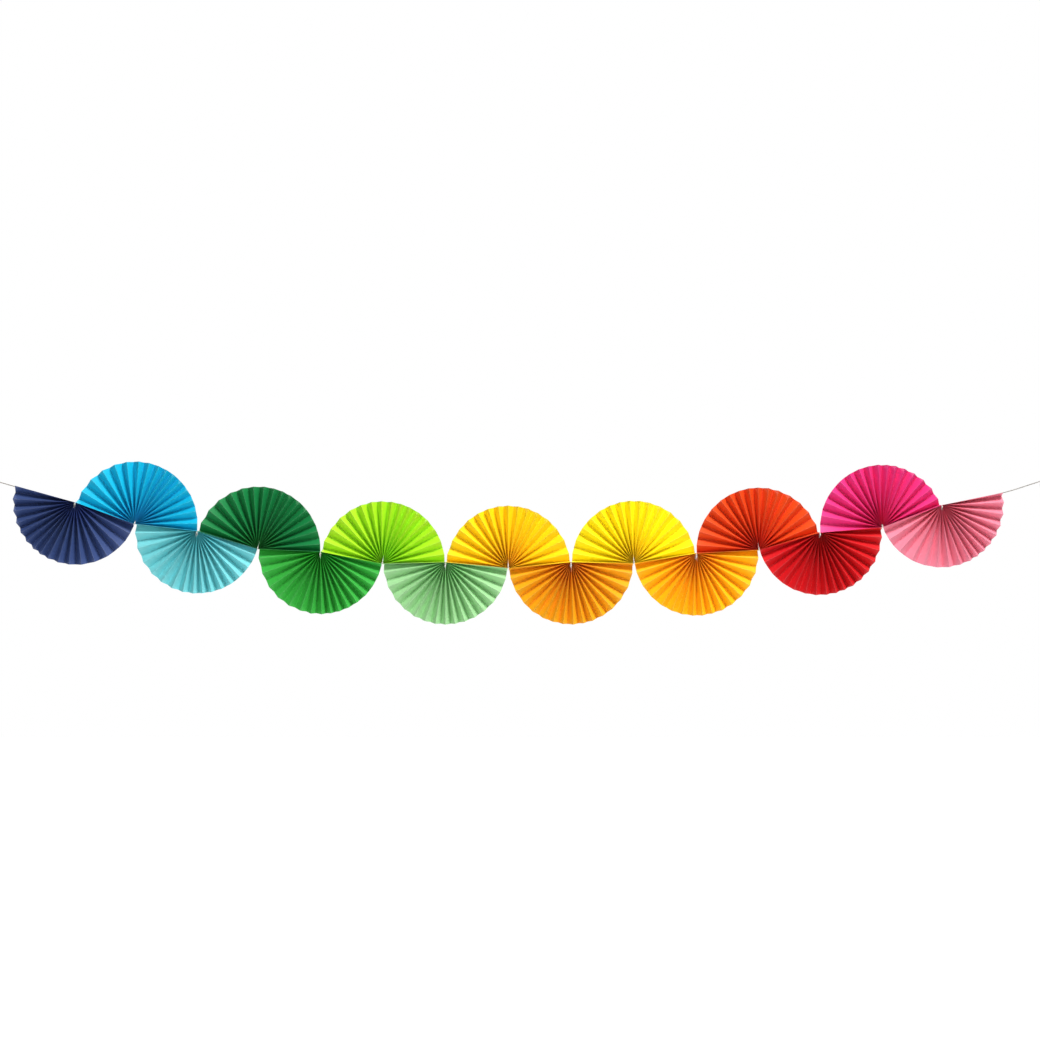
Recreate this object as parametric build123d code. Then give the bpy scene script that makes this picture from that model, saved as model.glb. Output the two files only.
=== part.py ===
from build123d import *

import os
from math import cos, hypot, pi, prod, radians, sin, sqrt, tan

# A hanging garland of half-round paper fans. Each fan is one sheet, folded like an accordion, tied across
# its middle and opened on both sides of the tie until its two halves meet at a glued seam. The fans open
# downwards and upwards by turns, and each is glued to the next along the front of their straight edges.
# Millimetres, X along the garland, Y towards its back, Z up.

# The sheet and its folds
FAN_RADIUS = 100.0  # from the middle of the tie to the rim, half of the sheet's length
PANELS = 16  # across the sheet, an even number
PAPER = 0.15  # thickness of the sheet
RIM_DEPTH = 9.5  # depth that the widest opened panel keeps at the rim
PLEAT_EASE = 0.22  # share by which the first pleats open more than the mean, and the last ones less
LAYER_GAP = 0.1  # air between the folded layers under the tie
SEAM_OPEN = 22.0  # stretch of the seam beside the tie that stays unglued
GLUE_LINE = 0.1  # glue under a panel or a string

# The thread tie
TIE_WIDTH = 1.2  # two turns of thread side by side
TIE_THICKNESS = 0.5
TIE_CLEARANCE = 0.1  # between the thread and the layers that it holds
TIE_SIDE_ROOM = 0.4  # between the thread and the places where the folds spread
RIM_CLEARANCE = 0.6  # between the thread and the corner of the next fan

# The end strings
STRING = 1.8  # diameter
STRING_SIDES = 8  # flats of its section, and of a knot's
GLUED_STRING = 28.0  # stretch that lies on the back of the free first panel
STRING_DROP = 2.4  # how far inside the straight edge it lies at the rim
LEFT_FREE_STRING = 31.0  # from the fan's corner to the knot
RIGHT_FREE_STRING = 70.0
LEFT_STRING_SLOPE = -16.5  # degrees, up to the right
RIGHT_STRING_SLOPE = 18.0
LOOP_RADIUS = 8.0  # to the middle of the string
LOOP_REACH = 13.0  # from the knot to the middle of the loop
LOOP_POINTS = 7  # corners of the loop's route
KNOT_DIAMETER = 4.2
KNOT_LENGTH = 5.5
KNOT_CHAMFER = 1.2
ARC_SHARE = 0.45  # of the shorter run, taken by the arc at a corner of the route

# Colour, opening angle, lean of the seam to the right, and how far the first panels on the left and the right
# have swung back from the straight edge, all in degrees, from left to right
FANS = (
    ("navy", 175.5, -9, (6, 2.5)),
    ("sky_blue", 166.5, 10, (4, 0.5)),
    ("aqua", 170.0, 8, (0.5, 0.5)),
    ("dark_green", 166.0, 6, (0.5, 0.5)),
    ("green", 171.5, 8, (0.5, 4)),
    ("lime", 167.5, 4, (3, 0.5)),
    ("mint", 173.0, 2, (1, 3.5)),
    ("golden_yellow", 169.0, 0, (0.5, 1)),
    ("amber", 173.5, 0, (2.5, 3)),
    ("yellow", 170.0, 0, (1, 0.5)),
    ("light_orange", 174.0, 0, (2, 0.5)),
    ("orange", 167.0, 0, (0.5, 1)),
    ("red", 169.0, 5, (5, 3)),
    ("hot_pink", 164.5, 9, (8.5, 0.5)),
    ("light_pink", 171.0, 12, (5, 3)),
)
FIRST_EDGE_SLOPE = -15.5  # degrees, of the first fan's free straight edge

HALF_TURN = 180.0
LAYER_PITCH = PAPER + LAYER_GAP
PINCH_HALF = TIE_WIDTH / 2 + TIE_SIDE_ROOM
FAN_PITCH = FAN_RADIUS + TIE_WIDTH / 2 + RIM_CLEARANCE
EDGE_STAND_OFF = (PAPER + GLUE_LINE) / 2


def fold_shares():
    """Where each fold lies between the first crease, 0, and the seam, 1."""
    last = PANELS - 2
    openings = [1 + PLEAT_EASE * (1 - 2 * step / last) for step in range(last + 1)]
    shares = [0.0]
    for opening in openings:
        shares.append(shares[-1] + opening / sum(openings))
    return shares


SHARES = fold_shares()


def half_turns(spread, lean, first_openings):
    """How far each fold has swung from the straight edge, in the left half of a fan and in its right half."""
    halves = []
    for swing, first_opening in zip((spread / 2 + lean, spread / 2 - lean), first_openings):
        turns = [first_opening + (swing - first_opening) * share for share in SHARES]
        halves.append([0.0] + [radians(turn) for turn in turns])
    return halves


def pleat_steps(turns):
    """Distances at the rim from each fold to the next."""
    return [2 * FAN_RADIUS * sin((after - before) / 2) for before, after in zip(turns, turns[1:])]


WIDEST_STEP = max(step for _, *shape in FANS for turns in half_turns(*shape) for step in pleat_steps(turns))
PANEL_WIDTH = hypot(WIDEST_STEP, RIM_DEPTH)


def is_ridge(fold):
    return fold % 2 == 0


def layer_rise(fold):
    """Height of a fold in the pinched stack, over the panel along the straight edge."""
    return LAYER_PITCH * max(fold - 1, 0)


STACK_HEIGHT = layer_rise(PANELS)


def spread_rise(edge):
    """Height of the stack's first layer that lets both straight edges point at the middle of the tie."""
    return PINCH_HALF / tan(edge)


def rim_depths(turns):
    """How far back each fold is at the rim: every panel keeps its width as its pleat opens."""
    depths = [-PANEL_WIDTH / 2]
    for fold, step in enumerate(pleat_steps(turns), 1):
        depth = sqrt(PANEL_WIDTH**2 - step**2)
        depths.append(depths[-1] - depth if is_ridge(fold) else depths[-1] + depth)
    return depths


def reach(start, way):
    """Point where a straight fold from start meets the round rim."""
    along = start.X * way.X + start.Z * way.Z
    length = -along + sqrt(along**2 + FAN_RADIUS**2 - start.X**2 - start.Z**2)
    return start + way * length


def half_folds(side, edge, turns, seam_depth):
    """Middle lines of one half's folds, as their points at the tie, at the end of the slit and at the rim."""
    depths = rim_depths(turns)
    shift = seam_depth - depths[PANELS]
    tied, neck, rim = [], [], []
    for fold, turn in enumerate(turns):
        way = Vector(side * sin(edge - turn), 0, cos(edge - turn))
        rise = layer_rise(fold) + spread_rise(edge)
        depth = Vector(0, -PANEL_WIDTH / 2 if is_ridge(fold) else PANEL_WIDTH / 2, 0)
        tied.append(Vector(side * PINCH_HALF, 0, rise) + depth)
        start = Vector(0 if fold == PANELS else side * PINCH_HALF, 0, rise)
        end = reach(start, way) + Vector(0, depths[fold] + shift * turn / turns[PANELS], 0)
        neck.append(start + depth + (end - start - depth) * (SEAM_OPEN / FAN_RADIUS))
        rim.append(end)
    return tied, neck, rim


def panel_front(across, run):
    """Way that the front of a first panel faces. Its straight edge lies square to across, run is its width."""
    return (across * run.Y - Vector(0, 1, 0) * run.dot(across)).normalized()


def skins(points, across):
    """Front and back of the paper along one row of fold points: creases are sharp inside and blunt outside."""
    steps = [hypot(end.X - start.X, end.Z - start.Z) for start, end in zip(points, points[1:])]
    half_sheet = panel_front(across, points[1] - points[0]) * (PAPER / 2)
    front, back = [points[0] + half_sheet], [points[0] - half_sheet]
    for fold in range(1, PANELS + 1):
        beside = steps[fold - 1 : fold + 1]
        inside = PAPER / 2 * PANEL_WIDTH * len(beside) / sum(beside)
        outside = min(inside, PAPER)
        forward, backward = (outside, inside) if is_ridge(fold) else (inside, outside)
        front.append(points[fold] - Vector(0, forward, 0))
        back.append(points[fold] + Vector(0, backward, 0))
    first_shift = across * (PAPER / 2 * (steps[1] - steps[0]) / (steps[1] + steps[0]))
    front[1] += first_shift
    back[1] -= first_shift
    return front, back


def triangle(*corners):
    return Face(Wire.make_polygon(corners))


def strip(a, b, c, d):
    """Two flat faces between the lines a to b and d to c."""
    return [triangle(a, b, c), triangle(a, c, d)]


def half_faces(rows):
    """All the faces of one half of a fan, from the tie to the rim."""
    faces = []
    for inner, outer in zip(rows, rows[1:]):
        for near, far in zip(inner, outer):
            for fold in range(1, PANELS + 1):
                ridge, valley = (fold, fold - 1) if is_ridge(fold) else (fold - 1, fold)
                faces += strip(near[ridge], far[ridge], far[valley], near[valley])
        faces += strip(inner[0][0], outer[0][0], outer[1][0], inner[1][0])
    (tied_front, tied_back), (neck_front, neck_back), (front, back) = rows
    faces += strip(tied_front[PANELS], neck_front[PANELS], neck_back[PANELS], tied_back[PANELS])
    for fold in range(1, PANELS + 1):
        faces += strip(front[fold - 1], front[fold], back[fold], back[fold - 1])
    return faces


def tied_faces(left_skins, right_skins):
    """The straight stretch of the folded stack under the tie."""
    faces = []
    for left, right in zip(left_skins, right_skins):
        for fold in range(1, PANELS + 1):
            faces += strip(left[fold - 1], left[fold], right[fold], right[fold - 1])
    (left_front, left_back), (right_front, right_back) = left_skins, right_skins
    for fold in (0, PANELS):
        faces += strip(left_front[fold], left_back[fold], right_back[fold], right_front[fold])
    return faces


def fan_folds(spread, lean, first_openings):
    """Fold lines of a fan's left and right half, each with its side and the way across its straight edge."""
    edge = radians(spread / 2)
    halves = half_turns(spread, lean, first_openings)
    seam_depth = sum(rim_depths(turns)[PANELS] for turns in halves) / 2
    for side, turns in zip((-1, 1), halves):
        yield Vector(-side * cos(edge), 0, sin(edge)), half_folds(side, edge, turns, seam_depth)


def pleated_fan(*shape):
    """One fan that opens towards +Z, with its straight edge along X and its tie at the origin."""
    halves = []
    for across, (tied, neck, rim) in fan_folds(*shape):
        halves.append([skins(tied, Vector(0, 0, 1)), skins(neck, across), skins(rim, across)])
    left, right = halves
    for left_skins, right_skins in zip(left[1:], right[1:]):
        for left_skin, right_skin in zip(left_skins, right_skins):
            right_skin[PANELS] = left_skin[PANELS]
    return Solid(Shell(half_faces(left) + half_faces(right) + tied_faces(left[0], right[0])))


def thread_tie(spread):
    """Thread round the pinched stack, as one flat band with its corners taken off."""
    inside_height = STACK_HEIGHT + PAPER + 2 * TIE_CLEARANCE
    inside_depth = PANEL_WIDTH + 2 * TIE_CLEARANCE
    outline = Rectangle(inside_depth + 2 * TIE_THICKNESS, inside_height + 2 * TIE_THICKNESS)
    outline = chamfer(outline.vertices(), TIE_THICKNESS)
    band = outline - Rectangle(inside_depth, inside_height)
    stack_middle = (0, 0, STACK_HEIGHT / 2 + spread_rise(radians(spread / 2)))
    across = Plane(origin=stack_middle, x_dir=(0, 1, 0), z_dir=(1, 0, 0))
    return across * extrude(band, amount=TIE_WIDTH / 2, both=True)


def slope_vector(slope):
    return Vector(cos(radians(slope)), 0, sin(radians(slope)))


def over_slope(slope):
    return Vector(-sin(radians(slope)), 0, cos(radians(slope)))


def turn_between(before, after):
    return radians(before.get_angle(after))


def glued_run(seat, half):
    """The two ends of a string's middle line where it lies on the back of the first panel of a half."""
    across, (tied, _, rim) = half
    place = STRING_DROP / (rim[1] - rim[0]).dot(across)
    ends = []
    for share in (1 - GLUED_STRING / FAN_RADIUS, 1):
        edge, crease = (start + (end - start) * share for start, end in zip(tied[:2], rim[:2]))
        run = crease - edge
        stand_off = panel_front(across, run) * (PAPER / 2 + GLUE_LINE + STRING / 2)
        ends.append(seat.from_local_coords(edge + run * place - stand_off))
    start, corner = ends
    return Vector(start.X, corner.Y, start.Z), corner


def end_string(name, seat, half, free_way, free_length):
    """String glued on the back of an end fan's first panel, running on to a knot and a round hanging loop."""
    start, corner = glued_run(seat, half)
    knot = corner + free_way * free_length
    middle = knot + free_way * LOOP_REACH
    side_way = Vector(-free_way.Z, 0, free_way.X)
    loop = []
    for corner_number in range(LOOP_POINTS):
        angle = 2 * pi * (corner_number + 1) / (LOOP_POINTS + 1)
        loop.append(middle - (free_way * cos(angle) - side_way * sin(angle)) * LOOP_RADIUS)
    last = knot + free_way * (KNOT_LENGTH / 4)
    route = [start, corner, knot, *loop, last]
    runs = [after - before for before, after in zip(route, route[1:])]
    radii = [
        ARC_SHARE * min(before.length, after.length) / tan(turn_between(before, after) / 2)
        for before, after in zip(runs, runs[1:])
    ]
    path = FilletPolyline(*route, radius=radii)
    section = RegularPolygon(STRING / 2, STRING_SIDES)
    tube = sweep(Plane(origin=path @ 0, z_dir=path % 0) * section, path=path)
    print(name, "radii", [round(radius, 1) for radius in radii])
    print(name, "length", round(path.length, 1), "volume", round(tube.volume, 2))
    print(name, "section by length", round(section.area * path.length, 2))
    barrel = extrude(RegularPolygon(KNOT_DIAMETER / 2, STRING_SIDES), amount=KNOT_LENGTH / 2, both=True)
    ends = barrel.faces().filter_by(Axis.Z)
    barrel = chamfer(ends.edges(), KNOT_CHAMFER)
    return tube + Plane(origin=knot, z_dir=free_way) * barrel


def garland():
    """Every piece of the garland by name, with the first fan's tie at the origin."""
    pieces = {}
    slopes = [FIRST_EDGE_SLOPE]
    middle = Vector(0, 0, 0)
    for number, (colour, spread, lean, first_openings) in enumerate(FANS, 1):
        opens_down = number % 2 == 1
        bend = HALF_TURN - spread
        slopes.append(slopes[-1] - bend if opens_down else slopes[-1] + bend)
        tilt = (slopes[-1] + slopes[-2]) / 2 + (HALF_TURN if opens_down else 0)
        along = slope_vector(tilt)
        out = over_slope(tilt)
        seat = Plane(origin=middle + out * EDGE_STAND_OFF, x_dir=along, z_dir=out)
        shape = (spread, -lean, first_openings[::-1]) if opens_down else (spread, lean, first_openings)
        pieces[f"fan_{number:02d}_{colour}"] = seat * pleated_fan(*shape)
        pieces[f"tie_{number:02d}"] = seat * thread_tie(spread)
        halves = list(fan_folds(*shape))
        ends = halves[::-1] if opens_down else halves
        if number == 1:
            left_end = (seat, ends[0])
        right_end = (seat, ends[1])
        middle = middle + slope_vector(slopes[-1]) * FAN_PITCH

    left_way, right_way = slope_vector(LEFT_STRING_SLOPE) * -1, slope_vector(RIGHT_STRING_SLOPE)
    pieces["left_string"] = end_string("left_string", *left_end, left_way, LEFT_FREE_STRING)
    pieces["right_string"] = end_string("right_string", *right_end, right_way, RIGHT_FREE_STRING)
    return pieces


pieces = garland()
without_strings = Compound([piece for name, piece in pieces.items() if not name.endswith("_string")])
to_middle = Location(without_strings.bounding_box().center() * -1)
sheet = (2 * FAN_RADIUS, PANELS * PANEL_WIDTH, PAPER)
volumes = [round(piece.volume) for name, piece in pieces.items() if name.startswith("fan_")]
print("panel width", round(PANEL_WIDTH, 2), "sheet", [round(size, 2) for size in sheet])
print("sheet volume", round(prod(sheet)), "fans", volumes)
os.makedirs("parts", exist_ok=True)
for name, piece in pieces.items():
    export_step(to_middle * piece, f"parts/{name}.step")
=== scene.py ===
import random
from math import cos, hypot, pi, radians, sin, sqrt, tan

import bmesh
import bpy
from mathutils import Matrix, Vector


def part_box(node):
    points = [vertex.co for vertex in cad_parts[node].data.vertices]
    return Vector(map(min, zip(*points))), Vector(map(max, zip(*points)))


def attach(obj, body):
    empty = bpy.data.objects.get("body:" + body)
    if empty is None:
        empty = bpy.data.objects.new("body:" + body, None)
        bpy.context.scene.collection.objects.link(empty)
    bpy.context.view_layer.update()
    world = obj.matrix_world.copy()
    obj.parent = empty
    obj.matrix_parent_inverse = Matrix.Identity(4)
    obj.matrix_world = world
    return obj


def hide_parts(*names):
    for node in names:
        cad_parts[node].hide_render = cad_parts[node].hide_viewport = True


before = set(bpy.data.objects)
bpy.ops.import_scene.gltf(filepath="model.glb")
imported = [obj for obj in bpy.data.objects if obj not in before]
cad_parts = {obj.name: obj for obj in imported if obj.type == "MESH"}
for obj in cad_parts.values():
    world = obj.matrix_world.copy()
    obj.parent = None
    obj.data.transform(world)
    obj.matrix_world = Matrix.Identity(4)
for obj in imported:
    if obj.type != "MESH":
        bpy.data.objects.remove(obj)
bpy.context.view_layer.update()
random.seed(15)

MM = 0.001  # sizes are written in millimetres


# The fans. Each is a sheet of coloured craft paper, 200 by 282 mm, folded into sixteen panels, pinched by
# a thread across its middle and swung open on both sides until the last panels meet at a glued seam. They
# open down and up by turns, and each is glued to the next along the front of their straight edges.

FAN_RADIUS = 100.0
PANELS = 16
PAPER = 0.15
TIE_ROOM = 1.2  # how much deeper than a panel the solid of a tie is
tie_low, tie_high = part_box("tie_08")
PANEL_WIDTH = (tie_high.y - tie_low.y) / MM - TIE_ROOM
LAYER_PITCH = 0.25  # from one folded layer to the next under the tie
STACK_HEIGHT = LAYER_PITCH * (PANELS - 1)
PINCH_HALF = 1.0  # half of the stretch that stays pinched
PLEAT_EASE = 0.22  # share by which the first pleats open more than the mean, and the last ones less
EDGE_MEETING = 0.06  # how far the straight edges are pressed into the glue between two fans
FIRST_EDGE_SLOPE = -15.5  # degrees, of the first fan's free straight edge

SLIT_SHARE = 0.22  # of the radius, beside the tie, where the seam is left unglued
SLIT_TAPER = 6  # power by which the slit narrows
SLIT_STATIONS = (0.0, 0.012, 0.03, 0.055, 0.085, 0.125, 0.17)
STATIONS = SLIT_STATIONS + (SLIT_SHARE, 0.32, 0.42, 0.52, 0.62, 0.72, 0.81, 0.89, 0.95, 0.985, 1.0)

CREASE_REACH = 0.4  # half width of a crease
CREASE_BLUNT = 0.07  # how far the outside of a crease stands off the fold
CREASE_DEEPEST = 0.6  # of a panel's width, how far the inside of a crease closes under the tie
CREASE_ANGLE = 50  # degrees, from which a crease looks sharp
CREASE_SHARE = CREASE_REACH / PANEL_WIDTH
ACROSS = (CREASE_SHARE, 2 * CREASE_SHARE, 0.3, 0.5, 0.7, 1 - 2 * CREASE_SHARE, 1 - CREASE_SHARE, 1.0)
COLUMN_PLACES = [0.0] + [panel + place for panel in range(PANELS) for place in ACROSS]

BOW = 0.35  # of a panel, out of flat
WARP = 0.45  # of a fold, out of straight
FOLD_JITTER = 0.07  # of a panel's opening
RIM_JITTER = 0.25
RIDGE_REACH = 0.45  # a front fold ends this far past the round rim and a back fold this far inside it

# Name, opening and lean of the seam in degrees, how far the left and right first panels have swung open in
# degrees, and the paper's colour on a screen
FANS = (
    ("navy", 175.5, -9, 6.0, 2.5, (50, 70, 120)),
    ("sky_blue", 166.5, 10, 4.0, 0.5, (0, 183, 217)),
    ("aqua", 170.0, 8, 0.5, 0.5, (123, 209, 214)),
    ("dark_green", 166.0, 6, 0.5, 0.5, (8, 124, 62)),
    ("green", 171.5, 8, 0.5, 4.0, (56, 173, 64)),
    ("lime", 167.5, 4, 3.0, 0.5, (176, 228, 30)),
    ("mint", 173.0, 2, 1.0, 3.5, (162, 212, 153)),
    ("golden_yellow", 169.0, 0, 0.5, 1.0, (250, 214, 2)),
    ("amber", 173.5, 0, 2.5, 3.0, (239, 170, 10)),
    ("yellow", 170.0, 0, 1.0, 0.5, (252, 232, 2)),
    ("light_orange", 174.0, 0, 2.0, 0.5, (253, 188, 2)),
    ("orange", 167.0, 0, 0.5, 1.0, (224, 74, 13)),
    ("red", 169.0, 5, 5.0, 3.0, (205, 12, 22)),
    ("hot_pink", 164.5, 9, 8.5, 0.5, (226, 50, 128)),
    ("light_pink", 171.0, 12, 5.0, 3.0, (231, 136, 156)),
)


class Socket:
    """An output of a material's nodes. Arithmetic on it adds Math nodes, and make adds any other node."""

    def __init__(self, tree, output=None):
        self.tree = tree
        self.output = output

    def make(self, kind, settings=None, inputs=None, output=0):
        node = self.tree.nodes.new(kind)
        for name, value in (settings or {}).items():
            setattr(node, name, value)
        for name, value in (inputs or {}).items():
            if isinstance(value, Socket):
                value.feed(node, name)
            else:
                node.inputs[name].default_value = value
        return Socket(self.tree, node.outputs[output])

    def feed(self, node, name):
        self.tree.links.new(self.output, node.inputs[name])

    def math(self, operation, first, second=0.0):
        return self.make("ShaderNodeMath", {"operation": operation}, {0: first, 1: second})

    def __add__(self, other):
        return self.math("ADD", self, other)

    def __sub__(self, other):
        return self.math("SUBTRACT", self, other)

    def __mul__(self, other):
        return self.math("MULTIPLY", self, other)

    def __truediv__(self, other):
        return self.math("DIVIDE", self, other)

    def __rsub__(self, other):
        return self.math("SUBTRACT", other, self)

    __radd__ = __add__
    __rmul__ = __mul__

    def near_zero(self, reach):
        """1 where the value is 0, falling smoothly to 0 at reach."""
        smooth = {"interpolation_type": "SMOOTHSTEP"}
        limits = {"From Min": 0.0, "From Max": reach, "To Min": 1.0, "To Max": 0.0}
        return self.make("ShaderNodeMapRange", smooth, {"Value": self, **limits})

    def noise(self, scale, detail=2.0, roughness=0.5):
        grain = {"Scale": scale, "Detail": detail, "Roughness": roughness}
        return self.make("ShaderNodeTexNoise", None, {"Vector": self, **grain})

    def mix(self, start, end):
        """The colour start where the value is 0 and end where it is 1."""
        return self.make("ShaderNodeMix", {"data_type": "RGBA"}, {0: self, 6: start, 7: end}, output=2)

    def tint(self, colour):
        """The colour, made darker or lighter by the value."""
        shade = self.make("ShaderNodeCombineColor", None, {0: self, 1: self, 2: self})
        multiply = {"data_type": "RGBA", "blend_type": "MULTIPLY"}
        return self.make("ShaderNodeMix", multiply, {0: 1.0, 6: colour, 7: shade}, output=2)


def linear(colour):
    """A screen colour of 0 to 255 as the shader's own numbers."""
    channels = [c / 255 for c in colour]
    return (*[c / 12.92 if c <= 0.04045 else ((c + 0.055) / 1.055) ** 2.4 for c in channels], 1.0)


def new_material(name):
    """A material, with its principled shader and a socket to start from."""
    material = bpy.data.materials.new(name)
    material.use_nodes = True
    tree = material.node_tree
    return material, tree.nodes["Principled BSDF"], Socket(tree)


WORN_REACH = 1.6 * CREASE_REACH  # half width of the worn paper along a crease
WORN_PALENESS = 0.22
WORN_COVER = 0.8
BOUNCE_SHADE_REACH = 0.5  # of the radius, from the tie, where painted bounce shade deepens the colour
BOUNCE_SHADE_POWER = 0.7
BOUNCE_SHADE_COVER = 0.9


def paper_material(name, colour):
    """Matte craft paper, dyed through, with a felted surface, paler where a fold has worn, and with painted
    bounce shade near the tie: a deeper colour that stands for light going from panel to panel many times."""
    material, shader, start = new_material(name)
    sheet = start.make("ShaderNodeUVMap", {"uv_map": "sheet"})
    across = start.make("ShaderNodeSeparateXYZ", None, {0: sheet}, output="X") / (PANEL_WIDTH * MM)
    along = start.make("ShaderNodeSeparateXYZ", None, {0: sheet}, output="Y") / (FAN_RADIUS * MM)
    pinched = start.math("ABSOLUTE", along).near_zero(BOUNCE_SHADE_REACH)
    off_middle = start.math("ABSOLUTE", start.math("FRACT", across) - 0.5)
    first_edge = across.near_zero(0.5)
    crease = (0.5 - off_middle).near_zero(WORN_REACH / PANEL_WIDTH) * (1 - first_edge) * (1 - pinched)
    clouds = sheet.noise(140.0, 3.0)
    fibres = sheet.noise(1500.0, 5.0, 0.68)
    scuffs = sheet.noise(420.0)
    dye = linear(colour)
    dyed = (0.84 + 0.12 * clouds + 0.2 * fibres).tint(dye)
    worn = (*[c + (1 - c) * WORN_PALENESS for c in dye[:3]], 1.0)
    # painted bounce shade: a deeper, more saturated colour near the tie, for light passed between the
    # panels
    painted_bounce_shade = (*[c * (c / max(dye[:3])) ** BOUNCE_SHADE_POWER for c in dye[:3]], 1.0)
    outer = (crease * scuffs * WORN_COVER).mix(dyed, worn)
    (pinched * BOUNCE_SHADE_COVER).mix(outer, painted_bounce_shade).feed(shader, "Base Color")
    (0.46 + 0.24 * fibres).feed(shader, "Roughness")
    shader.inputs["Specular IOR Level"].default_value = 0.5
    height = fibres + clouds * 0.6 + crease * 0.5
    felt = {"Strength": 0.45, "Distance": 0.0001, "Height": height}
    start.make("ShaderNodeBump", None, felt).feed(shader, "Normal")
    return material


def fold_shares():
    """Where each fold lies between the first fold, 0, and the seam, 1."""
    last = PANELS - 2
    openings = [1 + PLEAT_EASE * (1 - 2 * step / last) for step in range(last + 1)]
    shares = [0.0]
    for opening in openings:
        shares.append(shares[-1] + opening / sum(openings))
    return shares


SHARES = fold_shares()


def is_ridge(fold):
    return fold % 2 == 0


def half_turns(spread, lean, openings):
    """How far each fold has swung from the straight edge, in the left half of a fan and in its right."""
    halves = []
    for swing, opening in zip((spread / 2 + lean, spread / 2 - lean), openings):
        halves.append([0.0] + [radians(opening + (swing - opening) * share) for share in SHARES])
    return halves


def rim_depths(turns):
    """How far back each fold is at the rim: every panel keeps its width as its pleat opens."""
    depths = [-PANEL_WIDTH / 2]
    for before, after in zip(turns, turns[1:]):
        depth = sqrt(PANEL_WIDTH**2 - (2 * FAN_RADIUS * sin((after - before) / 2)) ** 2)
        depths.append(depths[-1] - depth if is_ridge(len(depths)) else depths[-1] + depth)
    return depths


def spread_rise(edge):
    """How far from the origin, where the two straight edges would meet, they start at the pinch."""
    return PINCH_HALF / tan(edge)


def reach(start, way, radius):
    """Point where a straight fold from start meets the round rim."""
    along = start.dot(way)
    return start + way * (sqrt(along**2 + radius**2 - start.length_squared) - along)


def fold_line(side, edge, turn, fold, rim_depth, radius=FAN_RADIUS):
    """The two ends of a fold, at the tie and at the rim."""
    way = Vector((side * sin(edge - turn), 0, cos(edge - turn)))
    rise = LAYER_PITCH * max(fold - 1, 0) + spread_rise(edge)
    start = Vector((0 if fold == PANELS else side * PINCH_HALF, 0, rise))
    end = reach(start, way, radius)
    start.y = -PANEL_WIDTH / 2 if is_ridge(fold) else PANEL_WIDTH / 2
    end.y = rim_depth
    return start, end


def across_edge(side, edge):
    """Way across the first panel, square to its straight edge."""
    return Vector((-side * cos(edge), 0, sin(edge)))


def half_rows(side, edge, turns, seam_depth):
    """Rows of fold points from the tie to the rim in one half of a fan, as uneven as folding by hand makes
    them."""
    depths = rim_depths(turns)
    shift = seam_depth - depths[PANELS]
    step = (turns[-1] - turns[1]) / (PANELS - 1)
    rows = [[] for _ in STATIONS]
    for fold, turn in enumerate(turns):
        rim_depth = depths[fold] + shift * turn / turns[-1]
        loose = 0 if fold in (0, PANELS) else 1
        by_hand = 0 if fold == 1 else random.uniform(-FOLD_JITTER, FOLD_JITTER) * step * loose
        cut = random.uniform(-RIM_JITTER, RIM_JITTER) * loose
        cut += RIDGE_REACH if is_ridge(fold) else -RIDGE_REACH
        sway = random.uniform(-WARP, WARP) * loose
        start, end = fold_line(side, edge, turn + by_hand, fold, rim_depth, FAN_RADIUS + cut)
        for share, row in zip(STATIONS, rows):
            point = start.lerp(end, share) + Vector((0, sway * sin(pi * share), 0))
            if fold == PANELS and share < SLIT_SHARE:
                point.x += side * PINCH_HALF * (1 - share / SLIT_SHARE) ** SLIT_TAPER
            if fold == 0 and share:
                point -= across_edge(side, edge) * EDGE_MEETING
            row.append(point)
    return rows


def panel_front(across, run):
    """Way that the front of a first panel faces. The way across is square to its edge, run is its width."""
    return (across * run.y - Vector((0, 1, 0)) * run.dot(across)).normalized()


def skins(points, across):
    """Front and back of the paper at one row of fold points, where the two panels' faces meet."""
    steps = [hypot(end.x - start.x, end.z - start.z) for start, end in zip(points, points[1:])]
    half_sheet = panel_front(across, points[1] - points[0]) * (PAPER / 2)
    front, back = [points[0] + half_sheet], [points[0] - half_sheet]
    for fold in range(1, PANELS + 1):
        beside = steps[fold - 1 : fold + 1]
        mitre = PAPER / 2 * PANEL_WIDTH * len(beside) / max(sum(beside), LAYER_PITCH)
        stand_off = Vector((0, min(mitre, CREASE_DEEPEST * PANEL_WIDTH), 0))
        front.append(points[fold] - stand_off)
        back.append(points[fold] + stand_off)
    first_shift = across * (PAPER / 2 * (steps[1] - steps[0]) / (steps[1] + steps[0]))
    front[1] += first_shift
    back[1] -= first_shift
    return front, back


def half_sheet_rows(side, edge, rows):
    """Both skins of one half as rows of points across every panel, blunt outside each crease, with the
    panels slightly bowed."""
    bows = [random.uniform(-BOW, BOW) for _ in range(PANELS)]
    sheet = []
    for share, row in zip(STATIONS, rows):
        pair = []
        for skin, way in zip(skins(row, across_edge(side, edge if share else pi / 2)), (-1, 1)):
            points = [skin[0]]
            for panel in range(PANELS):
                start, run = skin[panel], skin[panel + 1] - skin[panel]
                flatness = hypot(run.x, run.z) / run.length
                crease = row[panel + 1] if is_ridge(panel + 1) == (way < 0) else row[panel]
                for place in ACROSS:
                    bulge = bows[panel] * sin(pi * place) * sin(pi * share) if panel else 0
                    point = start + run * place + Vector((0, flatness * bulge, 0))
                    point.y = way * min(way * point.y, way * crease.y + CREASE_BLUNT)
                    points.append(point)
            pair.append(points)
        sheet.append(pair)
    return sheet


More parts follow.
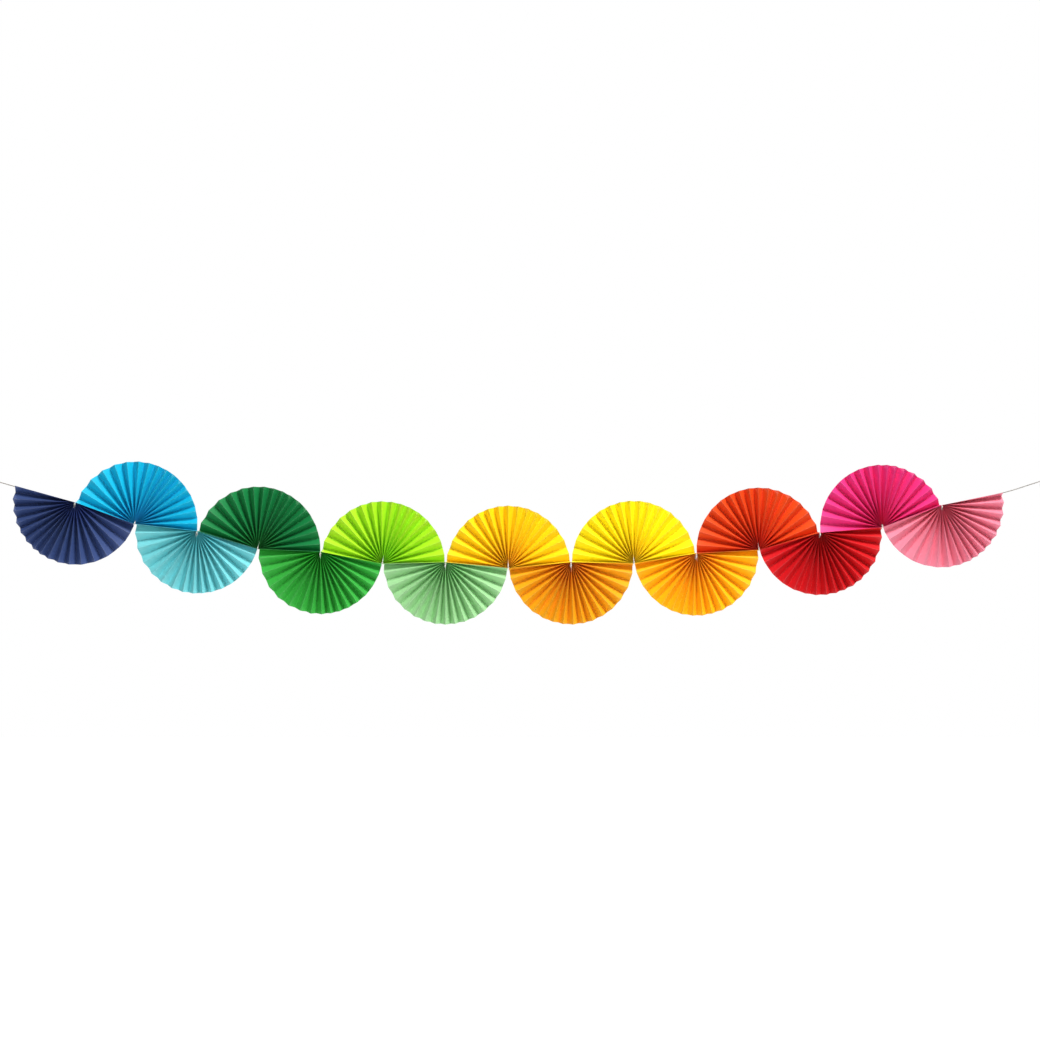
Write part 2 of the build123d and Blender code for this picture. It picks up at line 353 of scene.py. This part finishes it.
def folded_sheet(halves):
    """Mesh of a whole sheet from the rows of both its halves, with its flat shape as its map."""
    mesh = bmesh.new()
    flat_place = mesh.loops.layers.uv.new("sheet")
    corners = {}
    last = len(COLUMN_PLACES) - 1

    def corner(point, column, along):
        key = (round(point.x, 5), round(point.y, 5), round(point.z, 5))
        if key not in corners:
            corners[key] = mesh.verts.new(point * MM)
        return corners[key], (COLUMN_PLACES[column] * PANEL_WIDTH * MM, along * FAN_RADIUS * MM)

    def patch(*placed):
        places = dict(placed)
        if len(places) < 3:
            return
        face = mesh.faces.new(list(places))
        face.smooth = True
        for loop in face.loops:
            loop[flat_place].uv = places[loop.vert]

    def band(inner, outer, near, far):
        """Faces all across the sheet, from one row of points to another."""
        for column in range(last):
            patch(
                corner(inner[column], column, near),
                corner(outer[column], column, far),
                corner(outer[column + 1], column + 1, far),
                corner(inner[column + 1], column + 1, near),
            )

    def cut_edge(inner, outer, near, far, column):
        """A face across the paper's thickness, at the first column or the last."""
        patch(
            corner(inner[0][column], column, near),
            corner(outer[0][column], column, far),
            corner(outer[1][column], column, far),
            corner(inner[1][column], column, near),
        )

    for side, half in zip((-1, 1), halves):
        stations = [share * side for share in STATIONS]
        for inner, outer, near, far in zip(half, half[1:], stations, stations[1:]):
            for inner_skin, outer_skin in zip(inner, outer):
                band(inner_skin, outer_skin, near, far)
            cut_edge(inner, outer, near, far, 0)
            if abs(far) <= SLIT_SHARE:
                cut_edge(inner, outer, near, far, last)
        front_rim, back_rim = half[-1]
        band(front_rim, back_rim, side, side)
    left_tied, right_tied = (half[0] for half in halves)
    for left_skin, right_skin in zip(left_tied, right_tied):
        band(left_skin, right_skin, 0, 0)
    for column in (0, last):
        cut_edge(left_tied, right_tied, 0, 0, column)
    bmesh.ops.recalc_face_normals(mesh, faces=mesh.faces)
    return mesh


def mesh_object(name, mesh, material):
    data = bpy.data.meshes.new(name)
    mesh.to_mesh(data)
    mesh.free()
    data.materials.append(material)
    piece = bpy.data.objects.new(name, data)
    bpy.context.scene.collection.objects.link(piece)
    return piece


def pleated_fan(name, spread, lean, openings, colour):
    """One pleated fan that opens towards +Z, with its straight edge along X and its tie at the origin."""
    edge = radians(spread / 2)
    turns = half_turns(spread, lean, openings)
    seam_depth = sum(rim_depths(half)[PANELS] for half in turns) / 2
    halves = []
    for side, half in zip((-1, 1), turns):
        rows = half_rows(side, edge, half, seam_depth)
        halves.append(half_sheet_rows(side, edge, rows))
    for share, left_pair, right_pair in zip(STATIONS, *halves):
        if share >= SLIT_SHARE:
            for left_skin, right_skin in zip(left_pair, right_pair):
                right_skin[-1] = left_skin[-1]
    fan = mesh_object(name, folded_sheet(halves), paper_material(f"{name}_paper", colour))
    fan.data.set_sharp_from_angle(angle=radians(CREASE_ANGLE))
    return fan


def tie_rise(spread):
    """How far the middle of a tie is from the origin of its fan."""
    return STACK_HEIGHT / 2 + spread_rise(radians(spread / 2))


slopes = [FIRST_EDGE_SLOPE]
seats = []
for number, (colour_name, spread, lean, left_open, right_open, colour) in enumerate(FANS, 1):
    opens_down = number % 2 == 1
    bend = 180 - spread
    slopes.append(slopes[-1] - bend if opens_down else slopes[-1] + bend)
    tilt = radians((slopes[-1] + slopes[-2]) / 2 + (180 if opens_down else 0))
    tie_low, tie_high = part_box(f"tie_{number:02d}")
    out = Vector((-sin(tilt), 0, cos(tilt)))
    origin = (tie_low + tie_high) / 2 - out * tie_rise(spread) * MM
    seat = Matrix.Translation(origin) @ Matrix.Rotation(-tilt, 4, "Y")
    seats.append(seat)
    openings = (right_open, left_open) if opens_down else (left_open, right_open)
    fan = pleated_fan(f"{colour_name}_fan", spread, -lean if opens_down else lean, openings, colour)
    fan.data.transform(seat)
    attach(fan, "root")
    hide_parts(f"fan_{number:02d}_{colour_name}")


# The ties. Each is a length of white twisted thread, wound twice round the pinched middle of a folded
# sheet through the open end of its seam, pulled tight and knotted in front, with its two cut ends hanging.

THREAD = 0.56
THREAD_PLIES = 2
THREAD_LAY = 2.2  # length of one full twist
THREAD_SPACING = 0.3
THREAD_FRAY = 3.0
THREAD_COLOUR = (240, 237, 230)
COTTON_TONE_AND_SHADE = 0.84  # of the colour, where uneven tone and painted shade are darkest
TIE_PITCH = 0.6
TIE_CLEARANCE = 0.1
TIE_CORNER = 0.5
TURN_POINTS = 10
TIE_KNOT_SPAN = 2.3
TIE_KNOT_POINTS = 44
TIE_KNOT_STAND_OFF = 1.2  # threads in front of the turns
TIE_TAILS = ((4.5, -0.16), (6.5, 0.1))  # length, and how far it hangs from straight down in radians
TAIL_SWING_JITTER = 0.12
TAIL_LENGTH_RANGE = (0.85, 1.1)

PLY_RADII = {2: 0.5, 3: 0.464}  # of the cord's radius, for plies that touch one another
PLY_SIDES = 8
FRAY_UNTWIST = 0.5
FRAY_SPREAD = 0.9
FRAY_THINNING = 0.35


def running_lengths(points):
    lengths = [0.0]
    for before, after in zip(points, points[1:]):
        lengths.append(lengths[-1] + (after - before).length)
    return lengths


def add_cord(mesh, points, diameter, plies, lay, closed=False, fray=0.0):
    """Plies wound round each other along close points in metres, untwisted over the last fray metres."""
    count = len(points)
    ply_radius = diameter / 2 * PLY_RADII[plies]
    winding = diameter / 2 - ply_radius
    lengths = running_lengths(points)
    total = lengths[-1] + ((points[0] - points[-1]).length if closed else 0)
    if closed:
        lay = total / max(1, round(total / lay))
    strands = [[] for _ in range(plies)]
    across = None
    for number, point in enumerate(points):
        if closed:
            before, after = points[number - 1], points[(number + 1) % count]
        else:
            before, after = points[max(number - 1, 0)], points[min(number + 1, count - 1)]
        along = (after - before).normalized()
        if across is None:
            across = along.orthogonal().normalized()
        across = (across - along * across.dot(along)).normalized()
        beside = along.cross(across)
        loose = max(0.0, 1 - (total - lengths[number]) / fray) if fray else 0.0
        twists = lengths[number] / lay * (1 - FRAY_UNTWIST * loose)
        radius = ply_radius * (1 - FRAY_THINNING * loose)
        for ply, strand in enumerate(strands):
            angle = 2 * pi * (twists + ply / plies)
            out = across * cos(angle) + beside * sin(angle)
            middle = point + out * winding * (1 + FRAY_SPREAD * loose**2)
            ring = []
            for side in range(PLY_SIDES):
                turn = 2 * pi * side / PLY_SIDES
                ring.append(mesh.verts.new(middle + (across * cos(turn) + beside * sin(turn)) * radius))
            strand.append(ring)
    for strand in strands:
        pairs = list(zip(strand, strand[1:]))
        if closed:
            pairs.append((strand[-1], strand[0]))
        else:
            mesh.faces.new(strand[0][::-1])
            mesh.faces.new(strand[-1])
        for near, far in pairs:
            for side in range(PLY_SIDES):
                face = mesh.faces.new((near[side - 1], near[side], far[side], far[side - 1]))
                face.smooth = True


def cotton_material(name, colour):
    """Undyed spun cotton: fuzz in the bump, and darker random patches: uneven tone and painted shade."""
    material, shader, start = new_material(name)
    place = start.make("ShaderNodeTexCoord", output="Object")
    fuzz = place.noise(5200.0, 4.0, 0.65)
    slubs = place.noise(600.0)
    # painted shade for the shade between the plies, mixed with the cotton's uneven tone by noise
    shade = linear([channel * COTTON_TONE_AND_SHADE for channel in colour])
    (fuzz * 0.5 + slubs * 0.5).mix(shade, linear(colour)).feed(shader, "Base Color")
    (0.8 + 0.15 * fuzz).feed(shader, "Roughness")
    shader.inputs["Specular IOR Level"].default_value = 0.15
    shader.inputs["Sheen Weight"].default_value = 0.2
    nap = {"Strength": 0.5, "Distance": 0.00006, "Height": fuzz}
    start.make("ShaderNodeBump", None, nap).feed(shader, "Normal")
    return material


def rounded_turn(depth, height, x, corner):
    """One turn of thread round the folded stack, seen along the stack, with rounded corners."""
    points = []
    for y, z, start in ((1, 1, 0), (-1, 1, 90), (-1, -1, 180), (1, -1, 270)):
        middle = Vector((x, y * (depth / 2 - corner), z * (height / 2 - corner)))
        for step in range(TURN_POINTS):
            angle = radians(start + 90 * step / (TURN_POINTS - 1))
            points.append(middle + Vector((0, cos(angle), sin(angle))) * corner)
    return points


def close_points(points, spacing, closed=False):
    """The same line with points no further apart than spacing."""
    dense = []
    ends = points[1:] + points[:1] if closed else points[1:]
    for start, end in zip(points, ends):
        steps = max(1, round((end - start).length / spacing))
        dense += [start.lerp(end, step / steps) for step in range(steps)]
    return dense if closed else dense + [points[-1]]


def overhand_knot(span, thickness):
    """A knot of one crossed loop, pulled nearly shut and flattened against what it is tied round."""
    unit = span / 6  # the crossed loop below is six across
    points = []
    for step in range(TIE_KNOT_POINTS):
        turn = 2 * pi * step / TIE_KNOT_POINTS
        x, z = sin(turn) + 2 * sin(2 * turn), cos(turn) - 2 * cos(2 * turn)
        points.append(Vector((x * unit, -sin(3 * turn) * thickness / 2, z * unit)))
    return points


TAIL_STEPS = 24
TAIL_FIRST_DROP = 0.55  # how steeply it leaves the knot
TAIL_CURL = 0.12  # of its length, to the side
TAIL_FORWARD = 0.25


def hanging_tail(start, down, length, swing):
    """A cut end that leaves a knot to one side and then hangs."""
    sideways = Vector((down.z, 0, -down.x))
    curl = TAIL_CURL if swing > 0 else -TAIL_CURL
    points = []
    for step in range(TAIL_STEPS + 1):
        share = step / TAIL_STEPS
        arch = sin(pi * share)
        drop = length * share * (TAIL_FIRST_DROP + (1 - TAIL_FIRST_DROP) * share)
        lean = length * (swing * share + curl * arch)
        points.append(start + down * drop + sideways * lean - Vector((0, TAIL_FORWARD * arch, 0)))
    return points


def add_thread(mesh, points, closed=False, fray=0.0):
    """A run of a tie's thread along points in millimetres."""
    close = close_points([point * MM for point in points], THREAD_SPACING * MM, closed)
    add_cord(mesh, close, THREAD * MM, THREAD_PLIES, THREAD_LAY * MM, closed, fray * MM)


thread_cotton = cotton_material("white_thread", THREAD_COLOUR)
turn_depth = PANEL_WIDTH + 2 * TIE_CLEARANCE + THREAD
turn_height = STACK_HEIGHT + PAPER + 2 * TIE_CLEARANCE + THREAD
for number, seat in enumerate(seats, 1):
    middle = Vector((0, 0, tie_rise(FANS[number - 1][1])))
    knot_middle = middle - Vector((0, turn_depth / 2 + TIE_KNOT_STAND_OFF * THREAD, 0))
    down = seat.to_3x3().inverted() @ Vector((0, 0, -1))
    thread = bmesh.new()
    for x in (-TIE_PITCH / 2, TIE_PITCH / 2):
        turn = rounded_turn(turn_depth, turn_height, x, TIE_CORNER)
        add_thread(thread, [point + middle for point in turn], closed=True)
    knot = overhand_knot(TIE_KNOT_SPAN, THREAD)
    add_thread(thread, [point + knot_middle for point in knot], closed=True)
    for length, swing in TIE_TAILS:
        swing += random.uniform(-TAIL_SWING_JITTER, TAIL_SWING_JITTER)
        length *= random.uniform(*TAIL_LENGTH_RANGE)
        add_thread(thread, hanging_tail(knot_middle, down, length, swing), fray=THREAD_FRAY)
    tie = mesh_object(f"tie_{number:02d}_thread", thread, thread_cotton)
    tie.data.transform(seat)
    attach(tie, "root")
    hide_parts(f"tie_{number:02d}")


# The end strings. Each is a three-ply white cotton string, glued on the back of the free first panel of an
# end fan. It runs on taut past the fan's corner, and is tied off in a round loop that hangs on a pin.

STRING = 1.8
STRING_PLIES = 3
STRING_LAY = 4.2
STRING_SPACING = 0.3
# greyer than the white cotton the string is made of: painted shade
STRING_SHADED_COLOUR = (186, 181, 174)
GLUED_STRING = 28.0
GLUE_LINE = 0.1
STRING_DROP = 2.4  # how far inside the straight edge it is glued
LEFT_FREE_STRING = 31.0  # from the fan's corner to the knot
LEFT_STRING_SLOPE = -16.5  # degrees, above 0 when it rises to the right
RIGHT_FREE_STRING = 70.0
RIGHT_STRING_SLOPE = 18.0
LOOP_RADIUS = 8.0
LOOP_REACH = 13.0  # from the knot to the middle of the loop
LOOP_POINTS = 7
KNOT_LENGTH = 5.5
KNOT_RADIUS = 1.25
KNOT_TURNS = 3
KNOT_TURN_POINTS = 16
KNOT_WOUND = 0.62  # of its length
KNOT_SWELL = 0.12  # of its radius, in the middle
KNOT_STRING = 0.92  # of the string's thickness, since it is pulled tight
STRING_TAIL = 13.0
STRING_TAIL_SWING = 0.2
STRING_FRAY = 5.0

string_cotton = cotton_material("white_string_painted_shade", STRING_SHADED_COLOUR)


def slope_vector(slope):
    return Vector((cos(radians(slope)), 0, sin(radians(slope))))


def spline_points(name, route):
    """Close points along the smooth line that has the route's points as its control points."""
    curve = bpy.data.curves.new(name, "CURVE")
    curve.dimensions = "3D"
    curve.resolution_u = 64
    spline = curve.splines.new("NURBS")
    spline.points.add(len(route) - 1)
    for control, point in zip(spline.points, route):
        control.co = (*point, 1.0)
    spline.order_u = 3
    spline.use_endpoint_u = True
    carrier = bpy.data.objects.new(name, curve)
    bpy.context.scene.collection.objects.link(carrier)
    bpy.context.view_layer.update()
    line = bpy.data.meshes.new_from_object(carrier.evaluated_get(bpy.context.evaluated_depsgraph_get()))
    points = [vertex.co.copy() for vertex in line.vertices]
    bpy.data.objects.remove(carrier)
    return points


def even_points(points, spacing):
    """Points at even distances along a line."""
    lengths = running_lengths(points)
    count = max(2, round(lengths[-1] / spacing))
    even, segment = [], 0
    for number in range(count + 1):
        place = lengths[-1] * number / count
        while segment < len(points) - 2 and lengths[segment + 1] < place:
            segment += 1
        run = lengths[segment + 1] - lengths[segment]
        share = (place - lengths[segment]) / run if run else 0
        even.append(points[segment].lerp(points[segment + 1], share))
    return even


def glued_run(number, side):
    """The two ends of a string's middle line where it lies on the back of the first panel of a fan."""
    _, spread, lean, left_open, right_open, _ = FANS[number]
    edge = radians(spread / 2)
    halves = half_turns(spread, -lean, (right_open, left_open))
    depths = [rim_depths(half) for half in halves]
    seam_depth = (depths[0][PANELS] + depths[1][PANELS]) / 2
    own_half = 0 if side < 0 else 1
    turns, own_depths = halves[own_half], depths[own_half]
    crease_depth = own_depths[1] + (seam_depth - own_depths[PANELS]) * turns[1] / turns[PANELS]
    lines = [
        fold_line(side, edge, 0.0, 0, own_depths[0]),
        fold_line(side, edge, turns[1], 1, crease_depth),
    ]
    across = across_edge(side, edge)
    place = STRING_DROP / (lines[1][1] - lines[0][1]).dot(across)
    ends = []
    for share in (1 - GLUED_STRING / FAN_RADIUS, 1):
        free_edge, crease = (start.lerp(end, share) for start, end in lines)
        run = crease - free_edge
        stand_off = panel_front(across, run) * (PAPER / 2 + GLUE_LINE + STRING / 2)
        ends.append(seats[number] @ ((free_edge + run * place - stand_off) * MM) / MM)
    ends[0].y = ends[1].y
    return ends


def loop_points(knot, free_way, side_way):
    """Corners of the hanging loop, from the knot and back to it."""
    middle = knot + free_way * LOOP_REACH
    points = []
    for number in range(LOOP_POINTS):
        angle = 2 * pi * (number + 1) / (LOOP_POINTS + 1)
        points.append(middle - (free_way * cos(angle) - side_way * sin(angle)) * LOOP_RADIUS)
    return points


def knot_turns(knot, free_way, side_way):
    """The turns of string that are wound round the foot of the loop."""
    steps = KNOT_TURN_POINTS * KNOT_TURNS
    points = []
    for step in range(steps + 1):
        share = step / steps
        angle = 2 * pi * KNOT_TURNS * share
        along = KNOT_LENGTH * KNOT_WOUND * (share - 0.5)
        radius = KNOT_RADIUS * (1 - KNOT_SWELL + KNOT_SWELL * sin(pi * share))
        around = side_way * cos(angle) + Vector((0, 1, 0)) * sin(angle)
        points.append(knot + free_way * along + around * radius)
    return points


def end_string(name, number, side, free_way, free_length):
    """One end string with its knot, from the glued end to the hanging loop."""
    glued_end, corner = glued_run(number, side)
    side_way = Vector((-free_way.z, 0, free_way.x))
    knot = corner + free_way * free_length
    loop = loop_points(knot, free_way, side_way)
    before_knot = knot - free_way * (loop[0] - knot).length
    last = knot + free_way * (KNOT_LENGTH / 4)
    route = [point * MM for point in (glued_end, corner, before_knot, knot, *loop, last)]
    points = even_points(spline_points(name, route), STRING_SPACING * MM)
    strands = bmesh.new()
    add_cord(strands, points, STRING * MM, STRING_PLIES, STRING_LAY * MM)
    string = mesh_object(f"{name}_cord", strands, string_cotton)

    turns = knot_turns(knot, free_way, side_way)
    tail = hanging_tail(turns[0], Vector((0, 0, -1)), STRING_TAIL, STRING_TAIL_SWING)
    tail = even_points([point * MM for point in tail], STRING_SPACING * MM)
    tight = STRING * KNOT_STRING * MM
    strands = bmesh.new()
    add_cord(strands, [point * MM for point in turns], tight, STRING_PLIES, STRING_LAY * MM)
    add_cord(strands, tail, tight, STRING_PLIES, STRING_LAY * MM, fray=STRING_FRAY * MM)
    wrap = mesh_object(f"{name}_knot", strands, string_cotton)

    for piece in (string, wrap):
        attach(piece, "root")
    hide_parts(name)
    length = running_lengths(points)[-1]
    corner * MM


end_string("left_string", 0, 1, -slope_vector(LEFT_STRING_SLOPE), LEFT_FREE_STRING)
end_string("right_string", len(FANS) - 1, -1, slope_vector(RIGHT_STRING_SLOPE), RIGHT_FREE_STRING)


# The studio. The garland hangs clear of a plain pale floor, in white surroundings. One large soft lamp
# stands high in front at the right, a weaker one near the camera and one behind. The camera is five metres
# in front.

FRAME_WIDTH = 1.672
VIEW_MIDDLE = Vector((0.0185, 0, 0.037))
CAMERA_DISTANCE = 5.0
FLOOR_DROP = 1.15
FLOOR_HALF = 12.0
FLOOR_GREY = 0.86
FLOOR_LIFT = 0.84  # glow, only as seen directly, that brings the floor up to white
FLOOR_LIT = 0.2  # how much less it glows in the middle, where the lamps light it
FLOOR_LIT_FROM = 0.5
FLOOR_LIT_WIDTH = 2.5
ROOM_LIGHT = 0.14
LAMPS = (
    ("key", (1.3, -2.2, 2.9), 1.3, 176),
    ("fill", (-0.4, -4.4, 0.2), 1.6, 40),
    ("back", (-1.4, 3.2, 2.4), 1.6, 150),
)

scene = bpy.context.scene
scene.view_settings.view_transform = "Standard"

lens = bpy.data.cameras.new("camera")
lens.sensor_width = 36.0
lens.lens = lens.sensor_width * CAMERA_DISTANCE / FRAME_WIDTH
camera = bpy.data.objects.new("camera", lens)
camera.location = VIEW_MIDDLE - Vector((0, CAMERA_DISTANCE, 0))
camera.rotation_euler = (pi / 2, 0, 0)
scene.collection.objects.link(camera)
scene.camera = camera

floor_data = bpy.data.meshes.new("floor")
floor_signs = ((-1, -1), (1, -1), (1, 1), (-1, 1))
floor_corners = [(x * FLOOR_HALF, y * FLOOR_HALF, -FLOOR_DROP) for x, y in floor_signs]
floor_data.from_pydata(floor_corners, [], [(0, 1, 2, 3)])
floor = bpy.data.objects.new("floor", floor_data)
scene.collection.objects.link(floor)


def seen_directly(start):
    """1 for what the camera sees straight, in a mirror or through glass, and 0 for light that falls."""
    kinds = ("Camera", "Glossy", "Transmission")
    rays = [start.make("ShaderNodeLightPath", output=f"Is {kind} Ray") for kind in kinds]
    return start.math("MAXIMUM", start.math("MAXIMUM", rays[0], rays[1]), rays[2])


floor_material, floor_shader, floor_start = new_material("pale_floor")
floor_shader.inputs["Base Color"].default_value = (FLOOR_GREY, FLOOR_GREY, FLOOR_GREY, 1)
floor_shader.inputs["Roughness"].default_value = 0.9
floor_shader.inputs["Emission Strength"].default_value = 1.0
floor_place = floor_start.make("ShaderNodeTexCoord", output="Object")
length_of = {"operation": "LENGTH"}
from_middle = floor_start.make("ShaderNodeVectorMath", length_of, {0: floor_place}, output="Value")
lit = (from_middle - FLOOR_LIT_FROM).near_zero(FLOOR_LIT_WIDTH)
lift = seen_directly(floor_start) * (FLOOR_LIFT - FLOOR_LIT * lit)
lift.feed(floor_shader, "Emission Color")
floor_data.materials.append(floor_material)

world = bpy.data.worlds.new("white_room")
world.use_nodes = True
scene.world = world
room = Socket(world.node_tree)
brightness = ROOM_LIGHT + (1 - ROOM_LIGHT) * seen_directly(room)
brightness.feed(world.node_tree.nodes["Background"], "Color")

for lamp_name, place, width, power in LAMPS:
    light = bpy.data.lights.new(lamp_name, "AREA")
    light.shape = "DISK"
    light.size = width
    light.energy = power
    lamp = bpy.data.objects.new(lamp_name, light)
    lamp.location = place
    lamp.rotation_euler = (-Vector(place)).to_track_quat("-Z", "Y").to_euler()
    scene.collection.objects.link(lamp)
